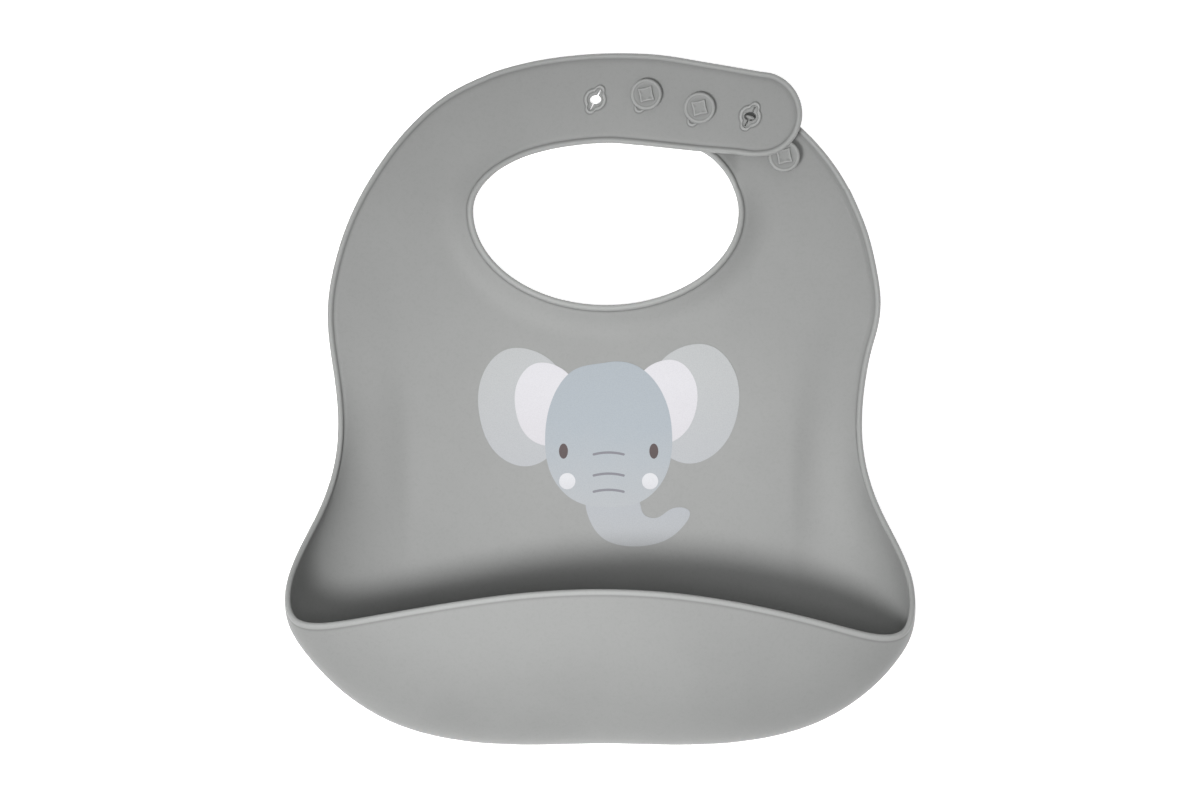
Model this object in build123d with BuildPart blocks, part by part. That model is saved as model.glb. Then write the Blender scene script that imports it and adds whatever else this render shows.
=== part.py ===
"""Silicone baby bib with a scoop pocket, lying on its back with the neck strap fastened.

Frame: X across the bib, +Y from the pocket towards the neck, +Z out of the front face.
The sheet's back face lies on Z = 0. The real bib is one soft moulding with a printed motif:
its named regions are separate solids here, and each strap is parted from the body along the
line where it bends.
"""
from build123d import *
import os
from math import atan, cos, degrees, radians, sin

os.makedirs("parts", exist_ok=True)

# ---- driving dimensions, mm
SHEET = 1.5  # wall thickness
BEAD = 2.0  # thickness of the rolled edge
BEAD_WIDTH = 2.2
ORIGIN_Y = 1.1  # the Y values below are measured from a zero this far under the frame's

# neck opening: quarter ellipses about one centre
NECK_X, NECK_Y = 2.2, 70.0
NECK_HALF_WIDTH = 48.6
NECK_BELOW, NECK_ABOVE_LEFT, NECK_ABOVE_RIGHT = 34.5, 25.0, 31.0
COLLAR_WIDTH = 14.0
COLLAR_RISE = 4.5
COLLAR_SPAN = (152.0, 376.0)  # angles at which the collar has flattened out into the straps
COLLAR_FADE = 40.0

# outer edge of the shoulders, from the side walls up past the line where each strap bends
LEFT_EDGE = [(-99.5, 16), (-100.6, 25), (-101, 33), (-98.8, 48.1), (-91.4, 70.3), (-81.8, 87), (-71, 100.7)]
LEFT_EDGE += [(-57, 112.9), (-45.5, 118.8), (-38.1, 121.7), (-27, 124.7)]
RIGHT_EDGE = [(99.5, 16), (102.4, 25), (104.1, 34), (102.4, 48.1), (98.2, 64.8), (93.6, 75.9), (86.6, 87)]

# straps, parted from the body at X = HOLE_BEND and at Y = BUTTON_BEND
HOLE_BEND, BUTTON_BEND = -41.0, 78.0
BEND_GAP = 0.3  # on each side of the line
HOLE_OUTER = [(-57, 112.9), (-45.5, 118.8), (-38.1, 121.7), (-27, 124.7), (-5.9, 127.6), (7.4, 128)]
HOLE_OUTER += [(20.4, 127.4), (41, 124.1), (58.8, 121)]
HOLE_INNER = [(58.8, 89.6), (48.8, 90.5), (41, 91.1), (27.7, 92.5), (14.8, 93.9), (3.7, 94.8), (-8, 94.1)]
HOLE_INNER += [(-19.6, 92.2), (-29.6, 89), (-41, 81.3), (-46.4, 70)]
BUTTON_OUTER = [(97.7, 64.8), (93.2, 75.9), (86.6, 87), (77.3, 98), (61, 111), (50, 116.9), (37, 121.4)]
BUTTON_OUTER += [(19.5, 124.5)]
BUTTON_INNER = [(19.5, 94.5), (27, 94.2), (34, 93), (40, 90), (43.7, 86.4), (47.4, 81.4), (50.3, 73), (50.8, 64.8)]
TIP_LIFT = 6.6  # back face of the hole strap where it lies on the third button
RISE = (-38.0, 56.0)  # the stretch over which it climbs there
HUNG = 2.3  # the button strap hangs that far under it from the two buttons in use
DROP = (40.0, 51.8)  # the stretch over which it comes down to the table again

# closure
BUTTONS = [(17.6, 112.6), (37.0, 107.5), (53.6, 99.4), (67.9, 89.9)]
HEAD_RADIUS, HEAD, HEAD_Z = 5.8, 1.5, 4.5
STEM_RADIUS = 1.8
STEM_LEAN = 0.3  # how far a stem has leant over where it passes through the upper strap
STEM_ROOT = 0.4  # how far a stem reaches into the strap, where the strap is cut out of it
PAD, PAD_HEIGHT, PAD_TURN = 5.4, 0.3, 12.0
EYELET_1, EYELET_2, EYELET_3, EYELET_4 = (55.3, 104.4), (37.0, 108.0), (17.6, 113.1), (-1.6, 110.9)
USED_RADIUS, FREE_RADIUS = 6.8, 6.2  # soft disc round an eyelet in use, and round a free one
LOBE_TURN, LOBE_REACH, LOBE_RADIUS = 62.0, 3.9, 1.9
EYE_RADIUS, RIM_WIDTH, RIM_HEIGHT = 4.1, 1.2, 0.4

# scoop pocket: sections of the outer face as (fold, back, front, rim), left half and centre
LEFT_ROWS = [
    ((-79, 16, 0), (-86, 16, 0), (-92, 16, 0), (-99.5, 16, 0)),
    ((-76, -2, 0), (-83, -2, 0), (-90, -2, 0.6), (-96.8, -2, 2.5)),
    ((-74, -20, 0), (-83, -20, 0), (-92, -20.5, 1.5), (-97, -20, 7)),
    ((-73, -37, 0), (-86, -37, 0), (-98, -38, 3), (-101.4, -37.5, 14.5)),
    ((-73, -52, 0), (-89, -52, 0), (-108, -54, 5), (-109, -52, 23)),
    ((-73, -64, 0), (-92, -65, 0), (-115, -68, 8), (-113.8, -64, 31)),
    ((-73, -74, 0), (-94, -77, 0), (-119, -80, 13), (-114.4, -73.5, 36.5)),
    ((-72, -82, 0), (-94, -88, 0), (-120, -91, 18), (-111.5, -80, 39.7)),
    ((-70, -89, 0), (-92, -99, 0), (-117, -103, 22), (-105, -81.5, 41)),
    ((-65, -95, 0), (-85, -112, 0), (-108, -118.5, 27), (-96, -80.6, 42)),
    ((-56, -100, 0), (-72, -126, 0), (-89, -133.5, 33), (-80, -77.5, 43.6)),
    ((-42, -103, 0), (-50, -134, 0), (-59, -141, 38), (-55, -73, 45.5)),
    ((-22, -104, 0), (-25, -136, 0), (-28, -142, 41), (-28, -69, 47.3)),
    ((0, -104, 0), (0, -134, 0), (0, -141, 42), (0, -67.5, 48)),
]
SIDE_TOP = 16.0  # Y of the first section
LEAN, LEAN_FROM, LEAN_OVER = 1.8, -80.0, 30.0  # the bottom of the scoop lies a little to the right
RIGHT_SAG = {6: 1.5, 7: 4.0, 8: 4.5, 9: 4.0, 10: 2.0, 11: 0.5}  # droop of the rim's right corner, by row
SIDE_END = 7.5  # row number where a side wall meets the front wall

# printed motif
INK = 0.12
HEAD_HALF = [(0, 14), (13, 11), (21, 0), (23.5, -14), (21, -28), (12, -37.5), (0, -39.6)]
FACE_X = 3.2
EAR_LEFT = [(-14, 9), (-24, 18), (-35, 18.5), (-43.5, 9), (-44.5, -6), (-38, -20), (-27, -24.5), (-16, -18)]
EAR_RIGHT = [(20, 10), (29, 19), (41, 20), (50, 10), (50.8, -5), (44, -18.5), (33, -23.5), (22, -18)]
TRUNK_LEFT = [(-5.5, -36), (-4, -44), (1, -51), (10, -54), (21, -53), (30, -47.5)]
TRUNK_RIGHT = [(33, -41), (27, -40), (21, -43.5), (16.5, -42.5), (14, -36)]


def at(x, y, z=0.0):
    """A point from the dimensions above, in the frame."""
    return Vector(x, y - ORIGIN_Y, z)


def smooth(t):
    """0 to 1 with level ends."""
    t = min(1.0, max(0.0, t))
    return t * t * (3 - 2 * t)


# ---- curved sheets: rows of sections, each four points, joined by a smooth surface

def section_point(row, v):
    """A point on a section's curve, from its first point at v = 0 to its last at v = 1."""
    a, b, c, d = (at(*p) for p in row)
    u = 1 - v
    return a * u**3 + b * (3 * u * u * v) + c * (3 * u * v * v) + d * v**3


def sheet_point(rows, s, v):
    """A point on the smooth surface of the rows, s counting rows."""
    last = len(rows) - 1
    i = min(int(s), last - 1)
    f = s - i

    def row_point(k):
        if k < 0:
            return section_point(rows[0], v) * 2 - section_point(rows[1], v)
        if k > last:
            return section_point(rows[last], v) * 2 - section_point(rows[last - 1], v)
        return section_point(rows[k], v)

    total = row_point(i - 1) * ((1 - f) ** 3 / 6)
    total += row_point(i) * ((3 * f**3 - 6 * f**2 + 4) / 6)
    total += row_point(i + 1) * ((-3 * f**3 + 3 * f**2 + 3 * f + 1) / 6)
    total += row_point(i + 2) * (f**3 / 6)
    return total


def sheet(rows, start, stop, thickness, per_row=3, across=8):
    """The solid between the rows' surface and the same surface a thickness towards the inside."""
    last = len(rows) - 1
    steps = max(4, round((stop - start) * per_row))
    near, far = [], []
    for i in range(steps + 1):
        s = start + (stop - start) * i / steps
        near_row, far_row = [], []
        for j in range(across + 1):
            v = j / across
            along = sheet_point(rows, min(s + 0.01, last), v) - sheet_point(rows, max(s - 0.01, 0), v)
            up = sheet_point(rows, s, min(v + 0.01, 1)) - sheet_point(rows, s, max(v - 0.01, 0))
            point = sheet_point(rows, s, v)
            near_row.append(point)
            far_row.append(point + up.cross(along).normalized() * thickness)
        near.append(near_row)
        far.append(far_row)
    outside = Face.make_surface_from_array_of_points(near, tol=0.003, min_deg=3, max_deg=3)
    inside = Face.make_surface_from_array_of_points(far, tol=0.003, min_deg=3, max_deg=3)
    faces = [outside, inside]
    for edge in outside.edges():
        middle = edge.center()
        facing = min(inside.edges(), key=lambda other: (other.center() - middle).length)
        faces.append(Face.make_surface_from_curves(edge, facing))
    return Solid(Shell(faces))


def short_of_edge(row):
    """A section that stops where the rolled edge starts."""
    edge = Vector(*row[3])
    start = edge + (Vector(*row[2]) - edge).normalized() * BEAD_WIDTH
    return (*row[:3], tuple(start))


def edge_only(row):
    """The stretch of a section that the rolled edge covers."""
    edge = Vector(*row[3])
    start = Vector(*short_of_edge(row)[3])
    return tuple(tuple(start + (edge - start) * (k / 3)) for k in range(4))


def leaning(x, y, z):
    """The point moved right by the lean of the scoop's bottom."""
    return (x + LEAN * min(1.0, max(0.0, (LEAN_FROM - y) / LEAN_OVER)), y, z)


def right_row(number):
    """The right half's row: the left one's mirror image with a drooping rim."""
    row = [(-x, y, z) for x, y, z in LEFT_ROWS[number]]
    x, y, z = row[3]
    row[3] = (x, y - RIGHT_SAG.get(number, 0.0), z)
    return row


RIGHT_ROWS = [right_row(number) for number in reversed(range(len(LEFT_ROWS) - 1))]
POCKET_ROWS = [tuple(leaning(*point) for point in row) for row in LEFT_ROWS + RIGHT_ROWS]
LAST_ROW = len(POCKET_ROWS) - 1
WALL_ROWS = [short_of_edge(row) for row in POCKET_ROWS]
FOLD = [sheet_point(WALL_ROWS, k / 3, 0) for k in range(3 * LAST_ROW + 1)]


def neck_point(degrees, out):
    """A point that far outside the neck edge, by its angle about the neck's centre."""
    c, s = cos(radians(degrees)), sin(radians(degrees))
    height = NECK_BELOW
    if s >= 0:
        height = NECK_ABOVE_LEFT if c < 0 else NECK_ABOVE_RIGHT
    return (NECK_X + (NECK_HALF_WIDTH + out) * c, NECK_Y + (height + out) * s)


def collar_row(degrees, outer, inner):
    """A section of the collar's back face between two distances from the neck edge."""
    first, last = COLLAR_SPAN
    rise = COLLAR_RISE * smooth((degrees - first) / COLLAR_FADE) * smooth((last - degrees) / COLLAR_FADE)
    low, high = 1 - outer / COLLAR_WIDTH, 1 - inner / COLLAR_WIDTH
    levels = (low * low, low * (low + 2 * high) / 3, high * (high + 2 * low) / 3, high * high)
    row = []
    for k, level in enumerate(levels):
        row.append((*neck_point(degrees, outer + (inner - outer) * k / 3), rise * level))
    return tuple(row)


COLLAR_ANGLES = [390 - 10 * k for k in range(27)]
COLLAR_ROWS = [collar_row(a, COLLAR_WIDTH, BEAD_WIDTH) for a in COLLAR_ANGLES]
LIP_ROWS = [collar_row(a, BEAD_WIDTH, 0) for a in COLLAR_ANGLES]


# ---- flat outlines

def neck_outline(out):
    """The neck opening grown by a distance."""
    half = NECK_HALF_WIDTH + out
    with BuildSketch() as face:
        with BuildLine():
            EllipticalCenterArc(at(NECK_X, NECK_Y), half, NECK_BELOW + out, 180, arc_size=180)
            EllipticalCenterArc(at(NECK_X, NECK_Y), half, NECK_ABOVE_RIGHT + out, 0, arc_size=90)
            Line(at(NECK_X, NECK_Y + NECK_ABOVE_RIGHT + out), at(NECK_X, NECK_Y + NECK_ABOVE_LEFT + out))
            EllipticalCenterArc(at(NECK_X, NECK_Y), half, NECK_ABOVE_LEFT + out, 90, arc_size=90)
        make_face()
    return face.sketch


def edge_points(points, inset):
    """Points along a curve through the given ones, moved that far to its right."""
    curve = Spline([at(*p) for p in points], mode=Mode.PRIVATE)
    moved = []
    for k in range(25):
        tangent = curve % (k / 24)
        moved.append(curve @ (k / 24) + Vector(tangent.Y, -tangent.X, 0) * inset)
    return moved


def chest_outline(inset):
    """The body seen from the front, its shoulders inset, its lower end on the pocket's fold."""
    left = edge_points(LEFT_EDGE, inset)
    right = edge_points(list(reversed(RIGHT_EDGE)), inset)
    with BuildSketch() as face:
        with BuildLine():
            Spline(left)
            Polyline(left[-1], at(0, 100), right[0])
            Spline(right)
            Line(right[-1], FOLD[-1])
            Spline(list(reversed(FOLD)))
            Line(FOLD[0], left[0])
        make_face()
    return face.sketch


def strap_outline(outer, inner, inset):
    """A strap seen from the front, inset, its round tip between the two edges."""
    clockwise = outer[0][0] < outer[-1][0]
    side = inset if clockwise else -inset
    top = edge_points(outer, side)
    bottom = edge_points(inner, side)
    with BuildSketch() as face:
        with BuildLine():
            Spline(top)
            TangentArc(top[-1], bottom[0], tangent=(1 if clockwise else -1, 0))
            Spline(bottom)
            Line(bottom[-1], top[0])
        make_face()
    return face.sketch


def hole_strap_lift(x):
    """Height of the hole strap's back face."""
    return TIP_LIFT * smooth((x - RISE[0]) / (RISE[1] - RISE[0]))


def button_strap_lift(x):
    """Height of the button strap's back face."""
    hung = hole_strap_lift(min(x, DROP[0])) - HUNG
    return hung * smooth((DROP[1] - x) / (DROP[1] - DROP[0]))


def side_profile(lift, start, stop, height):
    """A strap seen from the side, from its back face up to a height over it."""
    steps = 48
    lower = []
    for k in range(steps + 1):
        x = start + (stop - start) * k / steps
        lower.append((x, lift(x)))
    upper = [(x, z + height) for x, z in reversed(lower)]
    with BuildSketch(Plane.XZ.offset(-140)) as side:
        with BuildLine():
            Spline(lower)
            Line(lower[-1], upper[0])
            Spline(upper)
            Line(upper[-1], lower[0])
        make_face()
    return side.sketch


def hole_strap_space(height):
    """The hole strap's layer of that height, much wider than the strap."""
    profile = side_profile(hole_strap_lift, HOLE_BEND + BEND_GAP, 80, height)
    return extrude(profile, amount=100, mode=Mode.PRIVATE)


def button_strap_space(height):
    """The button strap's layer of that height, much wider than the strap."""
    profile = side_profile(button_strap_lift, 0, 100, height)
    return extrude(profile, amount=100, mode=Mode.PRIVATE)


def shoulder_strip(side):
    """The strip of rolled edge down one shoulder, side -1 for the left and 1 for the right."""
    with BuildSketch() as face:
        add(chest_outline(0))
        add(chest_outline(BEAD_WIDTH), mode=Mode.SUBTRACT)
        with Locations(at(side * 100, SIDE_TOP + 100)):
            Rectangle(200, 200, mode=Mode.INTERSECT)
    return face.sketch


def rim_outline(inset):
    """The raised rim round an eyelet: a circle with a lobe on each side."""
    with BuildSketch() as face:
        Circle(EYE_RADIUS - inset)
        with PolarLocations(LOBE_REACH, 2, start_angle=LOBE_TURN):
            Circle(LOBE_RADIUS - inset * 0.6)
    return face.sketch


# ---- body: chest panel, shoulders and collar

# everything on the body's side of the two bends
with BuildPart() as body_space:
    with BuildSketch(Plane.XY.offset(-5)):
        with BuildLine():
            Polyline(
                at(-130, -150),
                at(130, -150),
                at(130, BUTTON_BEND - BEND_GAP),
                at(NECK_X, BUTTON_BEND - BEND_GAP),
                at(NECK_X, NECK_Y),
                at(HOLE_BEND - BEND_GAP, NECK_Y),
                at(HOLE_BEND - BEND_GAP, 150),
                at(-130, 150),
                close=True,
            )
        make_face()
    extrude(amount=60)

with BuildPart() as chest_panel:
    with BuildSketch():
        add(chest_outline(BEAD_WIDTH))
        add(neck_outline(COLLAR_WIDTH), mode=Mode.SUBTRACT)
    extrude(amount=SHEET)
    add(body_space.part, mode=Mode.INTERSECT)
chest_panel.part.label = "chest_panel"

with BuildPart() as shoulder_bead_left:
    with BuildSketch():
        add(shoulder_strip(-1))
    extrude(amount=BEAD)
    add(body_space.part, mode=Mode.INTERSECT)
shoulder_bead_left.part.label = "shoulder_bead_left"

with BuildPart() as shoulder_bead_right:
    with BuildSketch():
        add(shoulder_strip(1))
    extrude(amount=BEAD)
    add(body_space.part, mode=Mode.INTERSECT)
shoulder_bead_right.part.label = "shoulder_bead_right"

with BuildPart() as neck_collar:
    add(sheet(COLLAR_ROWS, 0, len(COLLAR_ROWS) - 1, SHEET, per_row=2))
    add(body_space.part, mode=Mode.INTERSECT)
neck_collar.part.label = "neck_collar"

with BuildPart() as neck_bead:
    add(sheet(LIP_ROWS, 0, len(LIP_ROWS) - 1, BEAD, per_row=2, across=4))
    add(body_space.part, mode=Mode.INTERSECT)
neck_bead.part.label = "neck_bead"


# ---- body: scoop pocket

with BuildPart() as pocket_side_left:
    add(sheet(WALL_ROWS, 0, SIDE_END, SHEET))
pocket_side_left.part.label = "pocket_side_left"

with BuildPart() as pocket_front:
    add(sheet(WALL_ROWS, SIDE_END, LAST_ROW - SIDE_END, SHEET))
pocket_front.part.label = "pocket_front"

with BuildPart() as pocket_side_right:
    add(sheet(WALL_ROWS, LAST_ROW - SIDE_END, LAST_ROW, SHEET))
pocket_side_right.part.label = "pocket_side_right"

with BuildPart() as pocket_bead:
    add(sheet([edge_only(row) for row in POCKET_ROWS], 0, LAST_ROW, BEAD, across=4))
    split(bisect_by=Plane(at(0, SIDE_TOP), z_dir=(0, 1, 0)), keep=Keep.BOTTOM)
pocket_bead.part.label = "pocket_bead"


# ---- body: printed motif, side by side in one layer of ink

def closed_curve(points):
    """A smooth closed outline through the points."""
    with BuildSketch() as face:
        with BuildLine():
            Spline([at(*p) for p in points], periodic=True)
        make_face()
    return face.sketch


def ear_inner(points):
    """The lighter middle of an ear."""
    ear = closed_curve(points)
    middle = ear.center()
    with BuildSketch() as face:
        with Locations(middle):
            add(scale(ear.moved(Location(-middle)), by=0.7, mode=Mode.PRIVATE))
    return face.sketch


def head_outline():
    """The head: a rounded outline, the same on both sides."""
    half = [(FACE_X + x, y) for x, y in HEAD_HALF]
    other = [(FACE_X - x, y) for x, y in reversed(HEAD_HALF[1:-1])]
    return closed_curve(half + other)


def features(ellipses):
    """Ellipses given as (x, y, half width, half height)."""
    with BuildSketch() as face:
        for x, y, half_width, half_height in ellipses:
            with Locations(at(x, y)):
                Ellipse(half_width, half_height)
    return face.sketch


def wrinkle_lines():
    """Three bowed lines across the top of the trunk."""
    with BuildSketch() as face:
        for y in WRINKLES:
            with Locations(at(FACE_X, y)):
                SlotArc(RadiusArc((-5.5, 0.6), (5.5, 0.6), 22, mode=Mode.PRIVATE), 0.9)
    return face.sketch


EYES = [(FACE_X - 16.7, -18.9, 1.65, 2.8), (FACE_X + 16.7, -18.9, 1.65, 2.8)]
CHEEKS = [(FACE_X - 15.3, -30, 3, 3), (FACE_X + 15.3, -30, 3, 3)]
WRINKLES = [-20.7, -28.5, -34.5]
print_plane = Plane.XY.offset(SHEET)

with BuildPart() as print_ears:
    with BuildSketch(print_plane):
        add(closed_curve(EAR_LEFT))
        add(closed_curve(EAR_RIGHT))
        add(ear_inner(EAR_LEFT), mode=Mode.SUBTRACT)
        add(ear_inner(EAR_RIGHT), mode=Mode.SUBTRACT)
        add(head_outline(), mode=Mode.SUBTRACT)
    extrude(amount=INK)
print_ears.part.label = "print_ears"

with BuildPart() as print_ear_inners:
    with BuildSketch(print_plane):
        add(ear_inner(EAR_LEFT))
        add(ear_inner(EAR_RIGHT))
        add(head_outline(), mode=Mode.SUBTRACT)
    extrude(amount=INK)
print_ear_inners.part.label = "print_ear_inners"

with BuildPart() as print_face:
    with BuildSketch(print_plane):
        add(head_outline())
        add(features(EYES + CHEEKS), mode=Mode.SUBTRACT)
        add(wrinkle_lines(), mode=Mode.SUBTRACT)
    extrude(amount=INK)
print_face.part.label = "print_face"

with BuildPart() as print_trunk:
    with BuildSketch(print_plane):
        add(closed_curve(TRUNK_LEFT + TRUNK_RIGHT))
        add(head_outline(), mode=Mode.SUBTRACT)
    extrude(amount=INK)
print_trunk.part.label = "print_trunk"

with BuildPart() as print_eyes:
    with BuildSketch(print_plane):
        add(features(EYES))
    extrude(amount=INK)
print_eyes.part.label = "print_eyes"

with BuildPart() as print_cheeks:
    with BuildSketch(print_plane):
        add(features(CHEEKS))
    extrude(amount=INK)
print_cheeks.part.label = "print_cheeks"

with BuildPart() as print_wrinkles:
    with BuildSketch(print_plane):
        add(wrinkle_lines())
    extrude(amount=INK)
print_wrinkles.part.label = "print_wrinkles"


# ---- hole strap, on top

with BuildPart() as hole_strap_band:
    with BuildSketch():
        add(strap_outline(HOLE_OUTER, HOLE_INNER, BEAD_WIDTH))
        for x, y in (EYELET_2, EYELET_3):
            with Locations(at(x, y)):
                Circle(USED_RADIUS, mode=Mode.SUBTRACT)
        for x, y in (EYELET_1, EYELET_4):
            with Locations(at(x, y)):
                Circle(FREE_RADIUS, mode=Mode.SUBTRACT)
    extrude(amount=20)
    add(hole_strap_space(SHEET), mode=Mode.INTERSECT)
hole_strap_band.part.label = "hole_strap_band"

with BuildPart() as hole_strap_bead:
    with BuildSketch():
        add(strap_outline(HOLE_OUTER, HOLE_INNER, 0))
        add(strap_outline(HOLE_OUTER, HOLE_INNER, BEAD_WIDTH), mode=Mode.SUBTRACT)
    extrude(amount=20)
    add(hole_strap_space(BEAD), mode=Mode.INTERSECT)
hole_strap_bead.part.label = "hole_strap_bead"


def eyelet(place, radius, stem=None):
    """The disc of strap round one hole, with its raised rim and its two slits."""
    with BuildPart() as disc:
        with BuildSketch():
            with Locations(at(*place)):
                Circle(radius)
        extrude(amount=20)
        add(hole_strap_space(SHEET), mode=Mode.INTERSECT)
    with BuildPart() as rim:
        with BuildSketch():
            with Locations(at(*place)):
                add(rim_outline(0))
                add(rim_outline(RIM_WIDTH), mode=Mode.SUBTRACT)
        extrude(amount=20)
        add(hole_strap_space(SHEET + RIM_HEIGHT), mode=Mode.INTERSECT)
    with BuildPart() as whole:
        add(disc.part)
        add(rim.part)
        with BuildSketch():
            if stem:
                with Locations(at(stem[0] - STEM_LEAN, stem[1])):
                    Circle(STEM_RADIUS + 0.6)
            else:
                with Locations(at(*place)):
                    Ellipse(1.95, 1.45)
                    SlotCenterToCenter(2 * LOBE_REACH - 1, 0.5, rotation=LOBE_TURN)
        extrude(amount=20, mode=Mode.SUBTRACT)
    return whole.part


with BuildPart() as eyelet_1:
    add(eyelet(EYELET_1, FREE_RADIUS))
eyelet_1.part.label = "eyelet_1"

with BuildPart() as eyelet_2:
    add(eyelet(EYELET_2, USED_RADIUS, BUTTONS[1]))
eyelet_2.part.label = "eyelet_2"

with BuildPart() as eyelet_3:
    add(eyelet(EYELET_3, USED_RADIUS, BUTTONS[0]))
eyelet_3.part.label = "eyelet_3"

with BuildPart() as eyelet_4:
    add(eyelet(EYELET_4, FREE_RADIUS))
eyelet_4.part.label = "eyelet_4"


# ---- button strap, underneath

def beyond_bend():
    """Everything that lies on the body's side of the button strap's bend."""
    with BuildSketch() as face:
        with Locations(at(60, BUTTON_BEND + BEND_GAP - 50)):
            Rectangle(200, 100)
    return face.sketch


with BuildPart() as button_strap_band:
    with BuildSketch():
        add(strap_outline(BUTTON_OUTER, BUTTON_INNER, BEAD_WIDTH))
        add(beyond_bend(), mode=Mode.SUBTRACT)
    extrude(amount=20)
    add(button_strap_space(SHEET), mode=Mode.INTERSECT)
button_strap_band.part.label = "button_strap_band"

with BuildPart() as button_strap_bead:
    with BuildSketch():
        add(strap_outline(BUTTON_OUTER, BUTTON_INNER, 0))
        add(strap_outline(BUTTON_OUTER, BUTTON_INNER, BEAD_WIDTH), mode=Mode.SUBTRACT)
        add(beyond_bend(), mode=Mode.SUBTRACT)
    extrude(amount=20)
    add(button_strap_space(BEAD), mode=Mode.INTERSECT)
button_strap_bead.part.label = "button_strap_bead"


def button(place):
    """A stem, a round head with soft edges, and the square pad on top of it."""
    with BuildPart() as stud:
        with BuildSketch(Plane.XY.offset(SHEET - STEM_ROOT)):
            Circle(STEM_RADIUS)
        extrude(amount=HEAD_Z - SHEET + STEM_ROOT)
        with BuildSketch(Plane.XY.offset(HEAD_Z)):
            Circle(HEAD_RADIUS)
        extrude(amount=HEAD)
        fillet(stud.edges().filter_by(GeomType.CIRCLE).filter_by(lambda e: e.radius > 5), radius=0.6)
        with BuildSketch(Plane.XY.offset(HEAD_Z + HEAD)):
            Rectangle(PAD, PAD, rotation=PAD_TURN)
            with PolarLocations(PAD * 1.42, 4, start_angle=PAD_TURN):
                Circle(PAD, mode=Mode.SUBTRACT)
        extrude(amount=PAD_HEIGHT)
    x, y = place
    tilt = degrees(atan(button_strap_lift(x + 0.5) - button_strap_lift(x - 0.5)))
    return stud.part.moved(Location(at(x, y, button_strap_lift(x)), (0, -tilt, 0)))


with BuildPart() as buttons:
    for place in BUTTONS:
        add(button(place))
    add(button_strap_band.part, mode=Mode.SUBTRACT)
buttons.part.label = "buttons"

PIECES = [chest_panel, shoulder_bead_left, shoulder_bead_right, neck_collar, neck_bead]
PIECES += [pocket_side_left, pocket_front, pocket_side_right, pocket_bead]
PIECES += [print_ears, print_ear_inners, print_face, print_trunk, print_eyes, print_cheeks, print_wrinkles]
PIECES += [hole_strap_band, hole_strap_bead, eyelet_1, eyelet_2, eyelet_3, eyelet_4]
PIECES += [button_strap_band, button_strap_bead, buttons]
for piece in PIECES:
    export_step(piece.part, f"parts/{piece.part.label}.step")
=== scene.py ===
"""Looks of the silicone bib: moulded grey silicone with a printed face, seen from straight above."""

import bmesh
import bpy
import math
import numpy as np
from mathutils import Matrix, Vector, geometry


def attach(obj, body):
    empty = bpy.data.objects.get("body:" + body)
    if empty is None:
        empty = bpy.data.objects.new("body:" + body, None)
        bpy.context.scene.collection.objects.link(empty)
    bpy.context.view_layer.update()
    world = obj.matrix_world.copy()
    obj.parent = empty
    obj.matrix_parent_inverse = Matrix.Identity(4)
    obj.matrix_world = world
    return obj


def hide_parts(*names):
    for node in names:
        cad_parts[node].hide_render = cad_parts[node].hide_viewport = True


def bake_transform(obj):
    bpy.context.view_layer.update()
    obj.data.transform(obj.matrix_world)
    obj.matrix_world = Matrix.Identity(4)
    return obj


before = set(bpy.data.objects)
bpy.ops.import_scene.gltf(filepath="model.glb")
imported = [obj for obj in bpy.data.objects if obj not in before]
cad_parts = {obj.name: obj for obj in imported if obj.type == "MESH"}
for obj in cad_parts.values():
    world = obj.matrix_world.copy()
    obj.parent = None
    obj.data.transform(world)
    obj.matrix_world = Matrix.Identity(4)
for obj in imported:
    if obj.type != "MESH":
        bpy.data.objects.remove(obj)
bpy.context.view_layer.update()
MM = 0.001
SHARP_ANGLE = 0.9  # radians between faces, over which an edge is shaded as sharp

# ---- the bib's driving dimensions, in mm; the outlines and heights are those of the CAD source
SHEET = 1.5
ORIGIN_Y = 1.1  # the drawing's Y at the frame's origin
NECK_X, NECK_Y = 2.2, 70.0
NECK_HALF_WIDTH = 48.6
NECK_BELOW, NECK_ABOVE_LEFT, NECK_ABOVE_RIGHT = 34.5, 25.0, 31.0
COLLAR_WIDTH = 14.0
COLLAR_RISE = 4.5
COLLAR_FADES = ((112.0, 200.0), (386.0, 335.0))  # angles where the collar starts, and where it is full

# each strap bends where X or Y is this; the outlines of the shoulders and of the two straps
HOLE_BEND, BUTTON_BEND = -41.0, 78.0
LEFT_EDGE = [(-41, 120.6), (-45.5, 118.8), (-57, 112.9), (-71, 100.7), (-81.8, 87), (-91.4, 70.3)]
LEFT_EDGE += [(-98.8, 48.1), (-101, 33), (-100.6, 25), (-99.5, 16)]
RIGHT_EDGE = [(99.5, 16), (102.4, 25), (104.1, 34), (102.4, 48.1), (98.2, 64.8), (92.3, 78)]
HOLE_OUTER = [(-57, 112.9), (-45.5, 118.8), (-38.1, 121.7), (-27, 124.7), (-5.9, 127.6), (7.4, 128)]
HOLE_OUTER += [(20.4, 127.4), (41, 124.1), (58.8, 121)]
HOLE_INNER = [(-46.4, 70), (-41, 81.3), (-29.6, 89), (-19.6, 92.2), (-8, 94.1), (3.7, 94.8), (14.8, 93.9)]
HOLE_INNER += [(27.7, 92.5), (41, 91.1), (48.8, 90.5), (58.8, 89.6)]
BUTTON_OUTER = [(97.7, 64.8), (93.2, 75.9), (86.6, 87), (77.3, 98), (61, 111), (50, 116.9), (37, 121.4)]
BUTTON_OUTER += [(19.5, 124.5)]
BUTTON_INNER = [(50.8, 64.8), (50.3, 73), (47.4, 81.4), (43.7, 86.4), (40, 90), (34, 93), (27, 94.2)]
BUTTON_INNER += [(19.5, 94.5)]
TIP_LIFT, RISE = 6.6, (-38.0, 56.0)  # the hole strap's climb, and the X where it starts and ends
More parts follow.
